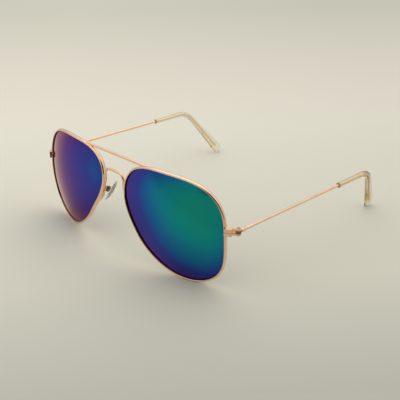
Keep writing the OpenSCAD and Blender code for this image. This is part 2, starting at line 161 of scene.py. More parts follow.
# Points round and along the finer meshes
RIM_STEPS = 300
RIM_SECTION_STEPS = 31
LENS_SECTORS = 180
LENS_RINGS = 26
BRIDGE_SIDES = 36
BRIDGE_LEG_STEPS = 12
BRIDGE_ARC_STEPS = 15
BRAZE_SIDES = 32
BRAZE_RINGS = 17
BRAZE_REACH = 0.96
ARM_SIDES = 24
ARM_STEPS = 10
PAD_SIDES = 96
PAD_FACE_RINGS = 12
PAD_EDGE_RINGS = 15
PAD_BACK_RINGS = 8
TEMPLE_SIDES = 40
TEMPLE_BEND_STEPS = 33
TIP_SIDES = 48
TIP_MOUTH_STEPS = 5
TIP_SLEEVE_STEPS = 8
TIP_BEND_STEPS = 28
TIP_PADDLE_STEPS = 14
TIP_END_ANGLES = np.radians(np.linspace(8, 88, 14))

# The photograph's camera: its direction, its place from the lenses in millimetres, and its focal length
CAMERA_AZIMUTH = math.radians(44.92)
CAMERA_ELEVATION = math.radians(25.06)
CAMERA_BACK = 374.5
CAMERA_RIGHT = 41.84
CAMERA_UP = 2.09
IMAGE_PIXELS = 400
FOCAL_PIXELS = 762
SENSOR_W = 36.0
CLIP_START = 0.01

# Table, in metres: its size, the line along which its painted light falloff changes, and the painted fade
# from side to side
TABLE_REACH = 4.0
TABLE_FADE_WAY = (-0.777, 0.637, 0.0)
TABLE_FADE_START = -0.3
TABLE_FADE_STOP = 0.6
TABLE_SIDE = 0.15
TABLE_SIDE_FADE = 0.045

# Room, dim at the horizon and dark round one direction beyond the camera, and its lamp, in metres
ROOM_HORIZON = 0.5
ROOM_FULL_HEIGHT = 0.6
ROOM_PALE = (0.95, 0.945, 0.92, 1)
ROOM_DARK = (0.03, 0.025, 0.02, 1)
DARK_ELEVATION = math.radians(6)
DARK_FULL = math.radians(32)
DARK_EDGE = math.radians(50)
SOFTBOX_PLACE = (-0.35, 0.35, 1.1)
SOFTBOX_SIZE = 1.3
SOFTBOX_POWER = 1.8


# Points and directions


def turn_x(p, angle):
    x, y, z = np.moveaxis(np.asarray(p, float), -1, 0)
    c, s = math.cos(angle), math.sin(angle)
    return np.stack([x, y * c - z * s, y * s + z * c], -1)


def turn_y(p, angle):
    x, y, z = np.moveaxis(np.asarray(p, float), -1, 0)
    c, s = math.cos(angle), math.sin(angle)
    return np.stack([x * c + z * s, y, z * c - x * s], -1)


def turn_z(p, angle):
    x, y, z = np.moveaxis(np.asarray(p, float), -1, 0)
    c, s = math.cos(angle), math.sin(angle)
    return np.stack([x * c - y * s, x * s + y * c, z], -1)


def unit(v):
    return v / np.linalg.norm(v, axis=-1, keepdims=True)


def full_turn(count):
    """Evenly spaced angles all the way round."""
    return 2 * np.pi / count * np.arange(count)


def opening_radius(angle):
    """Radius of the lens opening, the smoothest closed curve through its named radii."""
    radii = np.array(OPENING_RADII)
    count = len(radii)
    steps = full_turn(count)
    result = radii.mean() + 0 * angle
    for wave in range(1, count // 2 + 1):
        share = (1 if wave == count // 2 else 2) / count
        across = radii @ np.cos(wave * steps)
        upward = radii @ np.sin(wave * steps)
        result = result + share * (across * np.cos(wave * angle) + upward * np.sin(wave * angle))
    return result


def opening_point(angle):
    """Points of the opening's edge, seen along the lens's axis."""
    angle = np.asarray(angle, float)
    return opening_radius(angle)[..., None] * np.stack([np.cos(angle), np.sin(angle)], -1)


def beside_opening(angle, offset):
    """Points beside the opening's edge, outwards by an offset."""
    angle = np.asarray(angle, float)
    probe = 0.001
    along = unit(opening_point(angle + probe) - opening_point(angle - probe))
    outwards = np.stack([along[..., 1], -along[..., 0]], -1)
    return opening_point(angle) + np.asarray(offset, float)[..., None] * outwards


def on_lens(p, depth):
    """Points behind the lens's curved front, in the lens's frame: x to the temple, y back, z up."""
    x, z = np.moveaxis(np.asarray(p, float), -1, 0)
    sag = LENS_CURVE_R - np.sqrt(LENS_CURVE_R**2 - x * x - z * z)
    share = np.asarray(depth, float) / LENS_CURVE_R
    return np.stack([x - share * x, sag + share * (LENS_CURVE_R - sag), z - share * z], -1)


def from_lens(p):
    """From the lens's frame to the glasses' frame, which has its origin between the lens centres."""
    return np.array([LENS_CENTRE_X, 0, 0]) + turn_z(turn_x(p, LEAN), WRAP)


def rim_place(angle, offset, depth):
    return from_lens(on_lens(beside_opening(angle, offset), depth))


def end_slope():
    """Angle by which the end piece turns back, as the lens does at its outer edge."""
    reach = beside_opening(SPLIT, RIM_W)[0]
    return WRAP + math.asin(reach / LENS_CURVE_R)


def hinge_in_glasses():
    """The left hinge axis in the glasses' own frame."""
    return rim_place(SPLIT, RIM_W, 0) + turn_z([HINGE_X, HINGE_Y, 0], end_slope())


joints = {joint["name"]: joint for joint in frame["joints"]}
HINGE_ON_TABLE = np.array(joints["temple_left_fold"]["pos_m"]) / MM
TABLE_SHIFT = HINGE_ON_TABLE - hinge_in_glasses()


def on_table(p, side):
    """Points of the glasses' frame, for the wearer's left, set on the table on one side, in metres."""
    return (np.asarray(p, float) + TABLE_SHIFT) * np.array([side, 1, 1]) * MM


def ear_frame(s):
    """Points of the bent temple line at distances from the hinge, and the ways to the bend's inside."""
    s = np.asarray(s, float)
    angle = np.clip((s - BEND_START) / BEND_LEN, 0, 1) * EAR_BEND
    past = np.maximum(s - BEND_END, 0)
    along = np.stack([0 * s, np.cos(angle), 0 * s], -1) + np.sin(angle)[..., None] * DOWN_WAY
    inside = np.stack([0 * s, -np.sin(angle), 0 * s], -1) + np.cos(angle)[..., None] * DOWN_WAY
    straight = np.stack([0 * s, np.minimum(s, BEND_START) + BEND_R * np.sin(angle), 0 * s], -1)
    point = straight + (BEND_R * (1 - np.cos(angle)))[..., None] * DOWN_WAY + past[..., None] * along
    return point, inside


def ear_rings(stations, half_w, half_t, sides):
    """Oval rings square to the bent temple line."""
    point, inside = ear_frame(stations)
    across = np.cross([0, 1, 0], DOWN_WAY)
    turn = full_turn(sides)
    wide = half_w[:, None, None] * np.cos(turn)[None, :, None] * inside[:, None, :]
    thick = half_t[:, None, None] * np.sin(turn)[None, :, None] * across
    return point[:, None, :] + wide + thick


def tip_rings(stations, sides):
    """Rings round the ear tip: a round sleeve that flattens to a wide rounded end."""
    s = np.asarray(stations, float)
    share = (s - TIP_MOUTH) / (TEMPLE_LEN - TIP_MOUTH)
    into_end = np.maximum(s - TEMPLE_LEN + TIP_ROUND, 0) / TIP_ROUND
    ending = np.sqrt(np.maximum(1 - into_end**2, 0))
    flare = (TIP_W / 2 - TIP_MOUTH_R) * share**TIP_FLARE
    half_w = TIP_MOUTH_R + flare - (TIP_W - TIP_END_W) / 2 * (1 - ending)
    half_t = (TIP_MOUTH_R - TIP_THIN * share) * (TIP_END_T + (1 - TIP_END_T) * ending)
    bevel = TIP_MOUTH_BEVEL * np.clip(1 - (s - TIP_MOUTH) / TIP_MOUTH_BEVEL, 0, 1) ** 2
    return ear_rings(s, half_w - bevel, half_t - bevel, sides)


def temple_droop():
    """Angle at which the ear tips touch the table."""
    close_to_end = TEMPLE_LEN - 0.01
    stations = np.linspace(TIP_MOUTH, close_to_end, 400)
    points = tip_rings(stations, sides=64).reshape(-1, 3)
    low = points[points[:, 2].argmin()]
    return math.asin((HINGE_ON_TABLE[2] + low[2]) / low[1])


DROOP = temple_droop()


def from_temple(p):
    """From the temple's frame, y back along its wire from the hinge axis, to the glasses' frame."""
    return hinge_in_glasses() + turn_z(turn_x(p, -DROOP), TEMPLE_TOE)


def from_pad(p):
    """From the pad's frame, x towards the nose, y back and z up, to the glasses' frame."""
    mirrored = np.asarray(p, float) * np.array([-1, 1, 1])
    return PAD_CENTRE + turn_x(turn_z(turn_y(mirrored, -PAD_FRONTAL), -PAD_SPLAY), -PAD_VERTICAL)


def way_at(elevation):
    """Direction from the glasses to the camera's side, at a height of one's choice."""
    flat = math.cos(elevation)
    sideways = math.sin(CAMERA_AZIMUTH) * flat
    forwards = -math.cos(CAMERA_AZIMUTH) * flat
    return Vector((sideways, forwards, math.sin(elevation)))


def camera_right():
    return Vector((math.cos(CAMERA_AZIMUTH), math.sin(CAMERA_AZIMUTH), 0))


# Meshes


def ring_faces(rings, sides):
    """Four-sided faces between neighbouring rings."""
    faces = []
    for i in range(rings - 1):
        for j in range(sides):
            k = (j + 1) % sides
            a = i * sides
            b = a + sides
            faces.append((a + j, a + k, b + k, b + j))
    return faces


def ring_mesh(name, rings, side):
    """A closed smooth mesh over rings of points, with a fan to a middle point at each end."""
    count, sides = rings.shape[:2]
    ends = np.array([rings[0].mean(0), rings[-1].mean(0)])
    points = on_table(np.concatenate([rings.reshape(-1, 3), ends]), side)
    faces = ring_faces(count, sides)
    start, stop = count * sides, count * sides + 1
    last = (count - 1) * sides
    for j in range(sides):
        k = (j + 1) % sides
        faces.append((start, k, j))
        faces.append((stop, last + j, last + k))
    return new_piece(name, points, faces)


def new_piece(name, points, faces):
    mesh = bpy.data.meshes.new(name)
    mesh.from_pydata([tuple(p) for p in points], [], faces)
    shape = bmesh.new()
    shape.from_mesh(mesh)
    bmesh.ops.recalc_face_normals(shape, faces=shape.faces)
    shape.to_mesh(mesh)
    shape.free()
    mesh.shade_smooth()
    piece = bpy.data.objects.new(name, mesh)
    bpy.context.scene.collection.objects.link(piece)
    return piece


def sharpen(piece, degrees):
    """Keeps the edges crisp that turn by more than an angle."""
    piece.data.set_sharp_from_angle(angle=math.radians(degrees))


def tube_rings(path, radii, sides):
    """Rings round a path, carried along it without twist."""
    path = np.asarray(path, float)
    ways = unit(np.gradient(path, axis=0))
    # Any direction that no wire starts along
    aslant = [0.31, 0.52, 0.79]
    across = unit(np.cross(ways[0], aslant))
    turn = full_turn(sides)
    rings = []
    for point, way, radius in zip(path, ways, radii):
        across = unit(across - way * (across @ way))
        aside = np.cross(way, across)
        rings.append(point + radius * (np.cos(turn)[:, None] * across + np.sin(turn)[:, None] * aside))
    return np.array(rings)


def smooth_path(knots, steps):
    """A curve that runs smoothly through every knot."""
    knots = np.asarray(knots, float)
    padded = np.concatenate([knots[:1], knots, knots[-1:]])
    t = (np.arange(steps) / steps)[:, None]
    pieces = []
    for a, b, c, d in zip(padded[:-3], padded[1:-2], padded[2:-1], padded[3:]):
        pieces.append(b + t / 2 * (c - a + t * (2 * a - 5 * b + 4 * c - d + t * (3 * (b - c) + d - a))))
    return np.concatenate([*pieces, knots[-1:]])


def dress(piece, material, body, slot, *nodes):
    """Gives a new piece its finish, the body it rides on and the solids that it stands for."""
    piece.data.materials.append(material)
    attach(piece, body)
    if nodes:
        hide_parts(*nodes)


def paint_faces(piece, material, chosen):
    """A second finish on the faces that a test picks out."""
    piece.data.materials.append(material)
    for face in piece.data.polygons:
        face.material_index = int(chosen(face))


# Finishes


def srgb(red, green, blue):
    """A colour given as it shows on a screen, 0 to 255, as linear light."""
    shown = np.array([red, green, blue]) / 255
    light = np.where(shown <= 0.04045, shown / 12.92, ((shown + 0.055) / 1.055) ** 2.4)
    return (*[float(v) for v in light], 1.0)


class Nodes:
    """Short calls for the nodes of one tree."""

    def __init__(self, tree):
        self.tree = tree

    def put(self, value, socket):
        """Links another node's output to a socket, or sets the socket to a fixed value."""
        if isinstance(value, bpy.types.NodeSocket):
            self.tree.links.new(value, socket)
        else:
            socket.default_value = value

    def node(self, kind, inputs=None, **settings):
        """A new node with its settings, and with its inputs filled by name or number."""
        made = self.tree.nodes.new(kind)
        for key, value in settings.items():
            setattr(made, key, value)
        for key, value in (inputs or {}).items():
            self.put(value, made.inputs[key])
        return made

    def math(self, operation, first, second):
        return self.node("ShaderNodeMath", {0: first, 1: second}, operation=operation).outputs[0]

    def vector(self, operation, first, second=None):
        """A vector, or a plain number where the operation gives one."""
        inputs = {0: first} if second is None else {0: first, 1: second}
        made = self.node("ShaderNodeVectorMath", inputs, operation=operation)
        return made.outputs["Value" if operation in ("DOT_PRODUCT", "DISTANCE") else "Vector"]

    def rescale(self, value, start, stop, low=0.0, high=1.0):
        """A value from one range to another, held at the ends."""
        ends = {"From Min": start, "From Max": stop, "To Min": low, "To Max": high}
        return self.node("ShaderNodeMapRange", {"Value": value, **ends}).outputs["Result"]

    def ramp(self, value, stops):
        """Colours that pass into each other at the places given."""
        made = self.node("ShaderNodeValToRGB", {"Fac": value})
        elements = made.color_ramp.elements
        while len(elements) < len(stops):
            elements.new(0.5)
        for element, (position, colour) in zip(elements, stops):
            element.position = position
            element.color = colour
        return made.outputs["Color"]


class Finish(Nodes):
    """A material built from one principled shader, with short calls for what it needs."""

    def __init__(self, name, **values):
        self.material = bpy.data.materials.new(name)
        self.material.use_nodes = True
        super().__init__(self.material.node_tree)
        self.shader = self.tree.nodes["Principled BSDF"]
        for socket, value in values.items():
            self.feed(socket.replace("_", " "), value)

    def feed(self, name, value):
        """Puts a value into one of the shader's own sockets."""
        self.put(value, self.shader.inputs[name])

    def place(self):
        return self.node("ShaderNodeTexCoord").outputs["Object"]

    def noise(self, scale, detail=3.0, roughness=0.5):
        """Soft noise, with about so many grains to a metre."""
        inputs = {"Vector": self.place(), "Scale": scale, "Detail": detail, "Roughness": roughness}
        return self.node("ShaderNodeTexNoise", inputs).outputs["Fac"]

    def spread(self, noise, low, high):
        """Noise from its usual middle range to a range of its own."""
        return self.rescale(noise, 0.3, 0.7, low, high)

    def mottle(self, noise, first, second):
        """Two close colours in soft patches."""
        return self.ramp(self.spread(noise, 0.0, 1.0), [(0.0, first), (1.0, second)])

    def mix(self, share, colour, other):
        """A colour that turns into another one by a share."""
        # The numbers of the node's colour sockets
        first, second, result = 6, 7, 2
        inputs = {"Factor": share, first: colour, second: other}
        return self.node("ShaderNodeMix", inputs, data_type="RGBA").outputs[result]

    def bump(self, height, strength, distance):
        inputs = {"Height": height, "Strength": strength, "Distance": distance}
        self.feed("Normal", self.node("ShaderNodeBump", inputs).outputs["Normal"])

    def absorb(self, colour, density):
        """Tints light by the length of its way through the piece."""
        made = self.node("ShaderNodeVolumeAbsorption", {"Color": colour, "Density": density})
        self.put(made.outputs["Volume"], self.tree.nodes["Material Output"].inputs["Volume"])


def gold_finish(name, colours, roughness, painted_shade=None):
    """Plating: two close golds, uneven polish and the faint ripple of drawn wire, with painted shade in
    places.
    """
    finish = Finish(name, Metallic=1.0)
    colour = finish.mottle(finish.noise(420, detail=4.0), *colours)
    # Painted shade mixed into the plating where a mask picks it out
    if painted_shade:
        where, shade_colour = painted_shade
        colour = finish.mix(where(finish), colour, shade_colour)
    finish.feed("Base Color", colour)
    finish.feed("Roughness", finish.spread(finish.noise(1500), *roughness))
    finish.bump(finish.noise(2600, detail=2.0), strength=0.06, distance=0.04 * MM)
    return finish.material


def round_hinge_shade(finish):
    """Painted shade of the hinge's recess: 1 on the knuckle and stop round either hinge screw, falling to 0
    where the socket begins.
    """
    level = np.array([1, 1, 0])
    either_side = finish.vector("ABSOLUTE", finish.place())
    flat = finish.vector("MULTIPLY", either_side, level)
    away = finish.vector("DISTANCE", flat, np.abs(HINGE_ON_TABLE) * MM * level)
    return finish.rescale(away, HINGE_SHADE_FADES * MM, HINGE_SHADE_ENDS * MM, 1.0, 0.0)


def lens_wall_shade(finish):
    """Where painted shade goes: 1 on the walls of the end blocks that face the lens, and so mirror its dark,
    0 elsewhere.
    """
    surface = finish.node("ShaderNodeTexCoord")
    outwards = finish.vector("SIGN", surface.outputs["Object"])
    facing = finish.vector("MULTIPLY", surface.outputs["Normal"], outwards)
    inwards = (-math.cos(end_slope()), math.sin(end_slope()), 0)
    share = finish.vector("DOT_PRODUCT", facing, inwards)
    return finish.rescale(share, FACING_STARTS, FACING_FULL)


def mirror_finish():
    """Interference coat: green head on, then teal, blue and violet as it turns away or nears the edge."""
    finish = Finish("mirror_coat", Metallic=1.0, Specular_Tint=srgb(255, 236, 236))
    disc = finish.node("ShaderNodeUVMap", uv_map="LensDisc").outputs["UV"]
    from_middle = finish.vector("DISTANCE", disc, (DISC_R, DISC_R, 0.0))
    edge = finish.math("MULTIPLY", from_middle, 1 / DISC_R)
    thinning = finish.math("MULTIPLY", finish.math("POWER", edge, COAT_EDGE_POWER), COAT_EDGE_SHIFT)
    uneven = finish.spread(finish.noise(60, detail=2.0), -COAT_UNEVEN, COAT_UNEVEN)
    turned = finish.node("ShaderNodeLayerWeight").outputs["Facing"]
    shift = finish.math("ADD", finish.math("ADD", thinning, uneven), turned)
    colour = finish.ramp(
        shift,
        [
            (0.10, srgb(35, 155, 128)),
            (0.20, srgb(25, 153, 147)),
            (0.25, srgb(25, 142, 159)),
            (0.36, srgb(31, 100, 171)),
            (0.43, srgb(52, 67, 163)),
            (0.58, srgb(68, 49, 150)),
            (0.66, srgb(81, 35, 136)),
            (0.75, srgb(107, 52, 128)),
            (0.83, srgb(135, 78, 115)),
            (0.92, srgb(138, 115, 139)),
        ],
    )
    finish.feed("Base Color", colour)
    smears = finish.noise(220, detail=5.0, roughness=0.6)
    finish.feed("Roughness", finish.spread(smears, 0.04, 0.1))
    return finish.material


def smoke_finish():
    """Tinted plastic of the lens, seen from behind and at its edge."""
    finish = Finish("lens_smoke", Roughness=0.06, IOR=1.58, Coat_Weight=0.4, Coat_Roughness=0.04)
    shade = finish.noise(90, detail=2.0)
    finish.feed("Base Color", finish.mottle(shade, srgb(30, 34, 32), srgb(38, 42, 38)))
    return finish.material


def clear_finish(name, colours, roughness, clearness, ior, tint=None):
    """Moulded plastic with a faint tint, part clear and part milky, cloudier in places."""
    finish = Finish(name, Transmission_Weight=clearness, IOR=ior)
    finish.feed("Base Color", finish.mottle(finish.noise(160), *colours))
    finish.feed("Roughness", finish.spread(finish.noise(700), *roughness))
    finish.bump(finish.noise(320, detail=2.0), strength=0.04, distance=0.1 * MM)
    if tint:
        finish.absorb(*tint)
    return finish.material


def frosted_end_shade_finish():
    """Frosted end of the ear tip, where the sleeve is cut round the wire, in a darker tan that paints the
    shaded ring at the tip's mouth.
    """
    finish = Finish("frosted_tip_end_shade", Roughness=0.55)
    grain = finish.noise(1800)
    finish.feed("Base Color", finish.mottle(grain, srgb(184, 152, 102), srgb(206, 174, 124)))
    return finish.material


ROSE_GOLD = (srgb(244, 202, 168), srgb(253, 217, 186))
POLISHED = (0.05, 0.1)
GOLD = gold_finish("rose_gold", ROSE_GOLD, POLISHED)
# Painted shade round the hinge knuckle and stop, where the hinge's recess lies dark
HINGE_SHADE_GOLD = gold_finish("hinge_shade_gold", ROSE_GOLD, POLISHED, (round_hinge_shade, srgb(150, 104, 68)))
# Painted shade on the end blocks' walls that face the lens, for the dark lens that they mirror
END_WALL_SHADE_GOLD = gold_finish("lens_wall_shade_gold", ROSE_GOLD, POLISHED, (lens_wall_shade, srgb(84, 58, 44)))
# A paler gold for the core, a painted sheen for the clear sleeve over it
CORE_SHEEN_GOLD = gold_finish("core_sheen_gold", (srgb(247, 220, 192), srgb(254, 233, 208)), (0.12, 0.2))
# Dark gold for the rim's inner wall, painted shade where the lens shades it
RIM_WALL_SHADE_GOLD = gold_finish("rim_wall_shade_gold", (srgb(124, 90, 74), srgb(144, 106, 86)), (0.25, 0.35))
SCREW_GOLD = gold_finish("gilt_screw", (srgb(186, 138, 98), srgb(206, 158, 114)), (0.2, 0.34))
MIRROR = mirror_finish()
SMOKE = smoke_finish()
TIP_CLEAR = clear_finish(
    "clear_ear_tip",
    colours=(srgb(254, 252, 245), srgb(251, 247, 236)),
    roughness=(0.06, 0.14),
    clearness=0.97,
    ior=1.4,
    tint=((0.8, 0.66, 0.14, 1.0), 85),
)
# Frosted end, darker to paint the shaded ring at the tip's mouth
TIP_END_SHADE = frosted_end_shade_finish()
PAD_CLEAR = clear_finish(
    "clear_silicone_pad",
    colours=(srgb(248, 247, 242), srgb(240, 238, 232)),
    roughness=(0.2, 0.34),
    clearness=0.8,
    ior=1.38,
)
INSERT_CLEAR = clear_finish(
    "clear_pad_insert",
    colours=(srgb(246, 243, 234), srgb(238, 236, 224)),
    roughness=(0.12, 0.2),
    clearness=0.8,
    ior=1.45,
)


# Pieces


def rim_section():
    """Round the wire's section: offset from the opening's edge and depth behind the lens's front."""
    turn = np.radians(np.linspace(90, -90, RIM_SECTION_STEPS))
    half_depth = (RIM_BACK + RIM_LIP) / 2
    bulge_out = np.abs(np.cos(turn)) ** RIM_ROUNDNESS
    bulge_back = np.sign(np.sin(turn)) * np.abs(np.sin(turn)) ** RIM_ROUNDNESS
    outer = np.stack([RIM_EDGE + (RIM_W - RIM_EDGE) * bulge_out, RIM_MIDDLE - half_depth * bulge_back], -1)
    corner = RIM_EDGE * (1 - math.cos(math.radians(45)))
    lip = [[0, -RIM_LIP + RIM_EDGE], [corner, -RIM_LIP + corner]]
    groove = [
        [corner, RIM_BACK - corner],
        [0, RIM_BACK - RIM_EDGE],
        [0, LENS_T],
        [GROOVE_DEPTH, LENS_T / 2],
        [0, 0],
    ]
    return np.concatenate([lip, outer, groove])


def make_rim(word, side):
    """A split, grooved wire, with painted shade on its inner wall in front of the lens: a duller, darker
    gold where the lens keeps it in shade.
    """
    section = rim_section()
    sides = len(section)
    angles = SPLIT + np.linspace(SPLIT_HALF_GAP, 2 * np.pi - SPLIT_HALF_GAP, RIM_STEPS)
    rings = rim_place(angles[:, None], section[None, :, 0], section[None, :, 1])
    piece = ring_mesh(f"rim_{word}_wire", rings, side)
    sharpen(piece, 50)
    dress(piece, GOLD, "front", "rose_gold_metal", f"rim_{word}")
    # Painted shade on the rim's inner wall in front of the lens
    paint_faces(piece, RIM_WALL_SHADE_GOLD, lambda face: len(face.vertices) == 4 and face.index % sides == sides - 1)


def make_lens(word, side):
    """Curved front, bevelled edge and curved back; the front carries the mirror coating."""
    # Rings by their share of the way from the middle to the edge, closest together at the edge
    shares = np.concatenate([[0.02], np.linspace(0.06, 0.96, LENS_RINGS), [0.985, 1.0]])
    front = [(share, -SEAT_GAP, 0.0) for share in shares]
    back = [(share, -SEAT_GAP, LENS_T) for share in shares[::-1]]
    loops = [*front, (1.0, GROOVE_DEPTH - SEAT_GAP, LENS_T / 2), *back]
    angles = SPLIT + full_turn(LENS_SECTORS)
    rings = np.array([from_lens(on_lens(s * beside_opening(angles, o), d)) for s, o, d in loops])
    piece = ring_mesh(f"lens_{word}_glass", rings, side)
    sharpen(piece, 30)
    dress(piece, MIRROR, "front", "mirror_lens", f"lens_{word}")
    map_disc(piece, [loop[0] for loop in loops])
    back_start = len(front) * LENS_SECTORS
    front_middle = len(loops) * LENS_SECTORS
    paint_faces(piece, SMOKE, lambda face: any(v >= back_start and v != front_middle for v in face.vertices))


def map_disc(piece, shares):
    """A disc-shaped map of the lens, from its middle to its edge."""
    disc = piece.data.uv_layers.new(name="LensDisc")
    turn = full_turn(LENS_SECTORS)
    circle = np.stack([np.cos(turn), np.sin(turn)], -1)
    middles = np.full((2, 2), DISC_R)
    on_disc = np.concatenate([DISC_R + DISC_R * share * circle for share in shares] + [middles])
    for loop in piece.data.loops:
        disc.data[loop.index].uv = on_disc[loop.vertex_index]


def make_bridge():
    """An arched wire from rim to rim whose legs taper into the rims."""
    foot = rim_place(BRIDGE_FOOT_ANGLE, BRIDGE_OFFSET, RIM_MIDDLE / 2)
    arc = np.linspace(0, math.pi / 2, BRIDGE_ARC_STEPS)
    leg = np.linspace(foot[2], BRIDGE_RISE - BRIDGE_BEND_R, BRIDGE_LEG_STEPS)[:-1]
    side_x = np.concatenate([np.full(len(leg), foot[0]), foot[0] - BRIDGE_BEND_R * (1 - np.cos(arc))])
    height = np.concatenate([leg, BRIDGE_RISE - BRIDGE_BEND_R * (1 - np.sin(arc))])
    half = np.stack([side_x, np.full(len(height), foot[1]), height], -1)
    path = np.concatenate([half, half[::-1] * np.array([-1, 1, 1])])
    from_foot = np.minimum(np.arange(len(path)), np.arange(len(path))[::-1])
    radii = WIRE_R * np.clip(BRIDGE_FOOT_SHARE + BRIDGE_STEP_SHARE * from_foot, 0, 1)
    piece = ring_mesh("bridge_wire", tube_rings(path, radii, BRIDGE_SIDES), LEFT)
    dress(piece, GOLD, "front", "rose_gold_metal", "bridge")


def make_braze(name, foot, sizes, side):
    """A smooth drop of braze where a wire meets a rim, laid along the rim."""
    angle, offset, depth = foot
    length, width, thickness = sizes
    step = 0.02
    along = unit(rim_place(angle + step, offset, depth) - rim_place(angle - step, offset, depth))
    aside = rim_place(angle, RIM_W, depth) - rim_place(angle, 0, depth)
    aside = unit(aside - along * (aside @ along))
    deep = np.cross(along, aside)
    turn = full_turn(BRAZE_SIDES)
    outline = width * np.cos(turn)[:, None] * aside + thickness * np.sin(turn)[:, None] * deep
    rings = []
    for rise in np.linspace(-BRAZE_REACH, BRAZE_REACH, BRAZE_RINGS) * math.pi / 2:
        rings.append(rim_place(*foot) + length * math.sin(rise) * along + math.cos(rise) * outline)
    piece = ring_mesh(name, np.array(rings), side)
    dress(piece, GOLD, "front", "rose_gold_metal")


def make_brazes(word, side):
    """Drops of braze where the top bar and the pad arm meet the rim."""
    make_braze(f"bar_braze_{word}", (BAR_ANGLE, BAR_OFFSET, BAR_DEPTH), BAR_BRAZE, side)
    make_braze(f"arm_braze_{word}", (ARM_FOOT_ANGLE, ARM_FOOT_OFFSET, RIM_BACK), ARM_BRAZE, side)


def make_pad_arm(word, side):
    """A wire that rises behind the rim, turns back and laps the pad's box."""
    knots = [
        rim_place(ARM_FOOT_ANGLE, ARM_FOOT_OFFSET, ARM_FOOT_DEPTH),
        *ARM_BENDS,
        from_pad([ARM_LAP_X, 0, ARM_LAP_TOP]),
        from_pad([ARM_LAP_X, 0, ARM_LAP_FOOT]),
    ]
    path = smooth_path(knots, ARM_STEPS)
    rings = tube_rings(path, np.full(len(path), ARM_R), ARM_SIDES)
    piece = ring_mesh(f"pad_arm_{word}_wire", rings, side)
    sharpen(piece, 50)
    dress(piece, GOLD, "front", "rose_gold_metal", f"pad_arm_{word}")


def pad_dome(place):
    """Height of the pad's domed face over points of its middle plane."""
    return PAD_T / 2 - PAD_DOME_R + np.sqrt(PAD_DOME_R**2 - (place**2).sum(-1))


def make_nose_pad(word, side):
    """An oval pad, domed towards the nose, with a soft rounded edge."""
    turn = full_turn(PAD_SIDES)
    across = PAD_W / 2 * np.cos(turn) * (1 - PAD_TAPER * np.sin(turn))
    outline = np.stack([across, PAD_LEN / 2 * np.sin(turn)], -1)
    edge_front = pad_dome(outline)
    middle = (edge_front - PAD_T / 2) / 2
    half = (edge_front + PAD_T / 2) / 2
    inner = 1 - PAD_EDGE_ROUND
    rings = []
    for share in np.linspace(PAD_MIDDLE_SHARE, inner, PAD_FACE_RINGS, endpoint=False):
        place = outline * share
        rings.append(np.stack([pad_dome(place), place[:, 0], place[:, 1]], -1))
    for roll in np.linspace(0, math.pi, PAD_EDGE_RINGS):
        place = outline * (inner + PAD_EDGE_ROUND * math.sin(roll))
        front = np.minimum(middle + half * math.cos(roll), pad_dome(place))
        rings.append(np.stack([front, place[:, 0], place[:, 1]], -1))
    for share in np.linspace(inner, PAD_MIDDLE_SHARE, PAD_BACK_RINGS)[1:]:
        place = outline * share
        rings.append(np.stack([np.full(len(turn), -PAD_T / 2), place[:, 0], place[:, 1]], -1))
    piece = ring_mesh(f"nose_pad_{word}_soft", from_pad(np.array(rings)), side)
    dress(piece, PAD_CLEAR, f"nose_pad_{word}", "clear_silicone", f"nose_pad_{word}")


def make_temple(word, side):
    """A straight wire out of the hinge's socket, and its thinner core that bends with the ear tip, painted
    paler to stand for the sleeve's sheen over it.
    """
    wire = [TEMPLE_START, TEMPLE_START + WIRE_CHAMFER, CORE_START - WIRE_CHAMFER, CORE_START]
    bend = np.linspace(BEND_START, BEND_END, TEMPLE_BEND_STEPS)
    core = [CORE_START, *bend, CORE_END - WIRE_CHAMFER, CORE_END]
    radii = np.array([TEMPLE_R] * len(wire) + [TEMPLE_CORE_R] * len(core))
    radii[[0, len(wire) - 1, -1]] -= WIRE_CHAMFER
    rings = ear_rings(np.array([*wire, *core]), radii, radii, TEMPLE_SIDES)
    piece = ring_mesh(f"temple_{word}_wire", from_temple(rings), side)
    sharpen(piece, 30)
    dress(piece, GOLD, f"temple_{word}", "rose_gold_metal", f"temple_{word}")
    core_start = len(wire) * TEMPLE_SIDES
    # The core's paler gold is painted sheen from the sleeve over it
    paint_faces(piece, CORE_SHEEN_GOLD, lambda face: len(face.vertices) == 4 and min(face.vertices) >= core_start)


def make_ear_tip(word, side):
    """The clear sleeve, with a frosted end and edge at its mouth, in a darker tan that paints the shaded
    ring there.
    """
    mouth = TIP_MOUTH + TIP_MOUTH_BEVEL * np.linspace(0, 1, TIP_MOUTH_STEPS)
    stations = np.concatenate(
        [
            mouth,
            np.linspace(TIP_MOUTH + 1, BEND_START, TIP_SLEEVE_STEPS),
            np.linspace(BEND_START, BEND_END, TIP_BEND_STEPS)[1:],
            np.linspace(BEND_END, TEMPLE_LEN - TIP_ROUND, TIP_PADDLE_STEPS)[1:],
            TEMPLE_LEN - TIP_ROUND * (1 - np.sin(TIP_END_ANGLES)),
        ]
    )
    piece = ring_mesh(f"ear_tip_{word}_sleeve", from_temple(tip_rings(stations, TIP_SIDES)), side)
    sharpen(piece, 60)
    dress(piece, TIP_CLEAR, f"temple_{word}", "clear_ear_plastic", f"ear_tip_{word}")
    edge_stop = len(mouth) * TIP_SIDES
    mouth_middle = len(stations) * TIP_SIDES
    # The mouth's cut faces take the darker frosted finish, painted shade of the ring at the mouth
    paint_faces(piece, TIP_END_SHADE, lambda face: all(v < edge_stop or v == mouth_middle for v in face.vertices))


